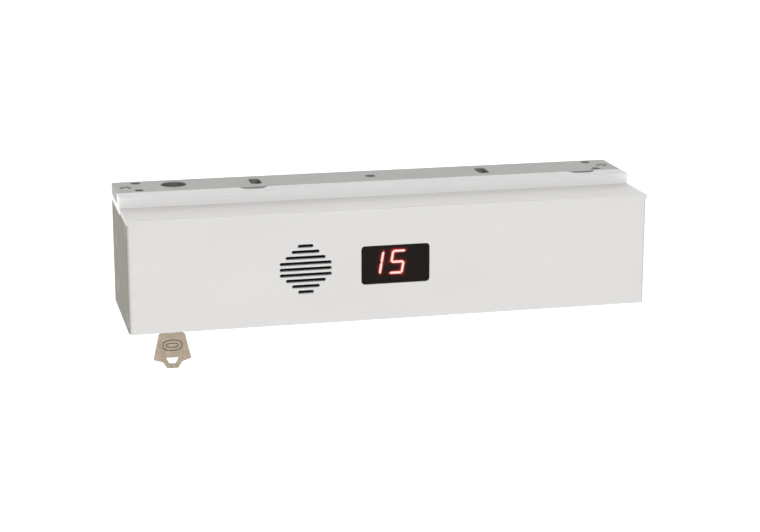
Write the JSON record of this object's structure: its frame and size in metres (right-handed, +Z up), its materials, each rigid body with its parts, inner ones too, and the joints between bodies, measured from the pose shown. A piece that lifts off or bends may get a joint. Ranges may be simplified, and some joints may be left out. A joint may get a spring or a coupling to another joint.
{
  "type": "delayed egress magnetic door lock",
  "caption": "Long brushed aluminium electromagnetic door lock for a door header, with a countdown display, a sounder grille, a key switch and a mounting plate.",
  "frame": {"origin": "on the face that meets the door header, at the middle of the mounting plate, where its centre hole is", "axes": "+X along the lock to the right seen from the room, -Y towards the room side with the display, +Z up at the header"},
  "size_m": [0.2986, 0.076, 0.0954],
  "materials": {
    "housing_aluminium": "brushed, satin, clear anodised",
    "cover_aluminium": "brushed along the length, satin, clear anodised",
    "plate_metal": "mill finish, dull grey",
    "cap_metal": "mill finish, satin",
    "block_aluminium": "as machined",
    "zinc_steel": "bright zinc plate",
    "black_steel": "black oxide",
    "core_steel": "ground and nickel plated silicon steel",
    "former_paper": "insulating paper",
    "copper_wire": "enamelled copper, wound",
    "potting_resin": "black epoxy resin",
    "brass_metal": "plain brass",
    "ivory_plastic": "moulded",
    "black_plastic": "moulded, fine texture",
    "screen_cloth": "black acoustic cloth",
    "speaker_paper": "black paper cone",
    "speaker_steel": "dark pressed steel",
    "smoked_lens": "smoked acrylic, polished",
    "lit_red": "lit red segment",
    "unlit_red": "dark segment",
    "board_green": "green solder mask",
    "terminal_green": "moulded",
    "capacitor_blue": "shrink sleeve",
    "red_plastic": "moulded",
    "white_plastic": "moulded",
    "cylinder_metal": "satin nickel plate on brass",
    "key_metal": "nickel silver, stamped, lightly worn",
    "red_wire": "PVC sleeving"
  },
  "bodies": {
    "root": {"mounting_plate": "plate_metal", "magnet_housing": "housing_aluminium", "front_cover": "cover_aluminium", "left_end_cap": "cap_metal", "right_end_cap": "cap_metal", "end_cap_screws": "zinc_steel", "left_end_block": "block_aluminium", "right_end_block": "block_aluminium", "body_bolts": "black_steel", "locating_dowels": "zinc_steel", "core_laminations": "core_steel", "coil_former": "former_paper", "coil_winding": "copper_wire", "core_potting": "potting_resin", "chamber_plates": "block_aluminium", "chamber_screws": "zinc_steel", "door_sensor": "ivory_plastic", "cover_rail": "block_aluminium", "rail_screws": "zinc_steel", "cover_screws": "zinc_steel", "corner_blocks": "block_aluminium", "cover_studs": "zinc_steel", "stud_nuts": "zinc_steel", "dust_screen": "screen_cloth", "speaker_basket": "speaker_steel", "speaker_cone": "speaker_paper", "speaker_magnet": "speaker_steel", "speaker_clamp": "zinc_steel", "display_lens": "smoked_lens", "lens_frame": "black_plastic", "display_module": "black_plastic", "lit_segments": "lit_red", "dark_segments": "unlit_red", "circuit_board": "board_green", "board_standoffs": "brass_metal", "board_screws": "zinc_steel", "terminal_block": "terminal_green", "terminal_screws": "zinc_steel", "relays": "black_plastic", "capacitors": "capacitor_blue", "heat_sink": "speaker_steel", "microcontroller": "black_plastic", "dip_switch": "red_plastic", "key_cylinder": "cylinder_metal", "cylinder_nut": "zinc_steel", "switch_bracket": "zinc_steel", "key_switch": "black_plastic", "switch_screws": "zinc_steel", "internal_wires": "red_wire"},
    "plug": {"key_plug": "cylinder_metal", "plug_wafers": "brass_metal", "plug_cam": "zinc_steel", "cam_screw": "zinc_steel"},
    "loose_key": {"key": "key_metal"},
    "lever": {"switch_lever": "zinc_steel"},
    "plunger": {"switch_plunger": "red_plastic"},
    "slider_1": {"dip_slider_1": "white_plastic"},
    "slider_2": {"dip_slider_2": "white_plastic"},
    "slider_3": {"dip_slider_3": "white_plastic"},
    "slider_4": {"dip_slider_4": "white_plastic"}
  },
  "joints": [
    {"name": "key_turn", "type": "hinge", "parent": "root", "child": "plug", "pos_m": [-0.124, -0.044, -0.07], "axis": [0, 0, 1], "range_deg": [0, 90]},
    {"name": "key_withdraw", "type": "slide", "parent": "plug", "child": "loose_key", "axis": [0, 0, -1], "range_m": [0, 0.03]},
    {"name": "lever_tilt", "type": "hinge", "parent": "root", "child": "lever", "pos_m": [-0.1127, -0.0355, -0.044], "axis": [0, 0, 1], "range_deg": [0, 8]},
    {"name": "plunger_press", "type": "slide", "parent": "root", "child": "plunger", "axis": [1, 0, 0], "range_m": [0, 0.0005]},
    {"name": "dip_slide_1", "type": "slide", "parent": "root", "child": "slider_1", "axis": [0, 0, 1], "range_m": [0, 0.0016]},
    {"name": "dip_slide_2", "type": "slide", "parent": "root", "child": "slider_2", "axis": [0, 0, 1], "range_m": [0, 0.0016]},
    {"name": "dip_slide_3", "type": "slide", "parent": "root", "child": "slider_3", "axis": [0, 0, 1], "range_m": [0, 0.0016]},
    {"name": "dip_slide_4", "type": "slide", "parent": "root", "child": "slider_4", "axis": [0, 0, 1], "range_m": [0, 0.0016]}
  ],
  "couplings": [
    {"joint": "lever_tilt", "follows": "key_turn", "ratio": 0.088889},
    {"joint": "plunger_press", "follows": "key_turn", "m_per_rad": 0.00031831}
  ]
}
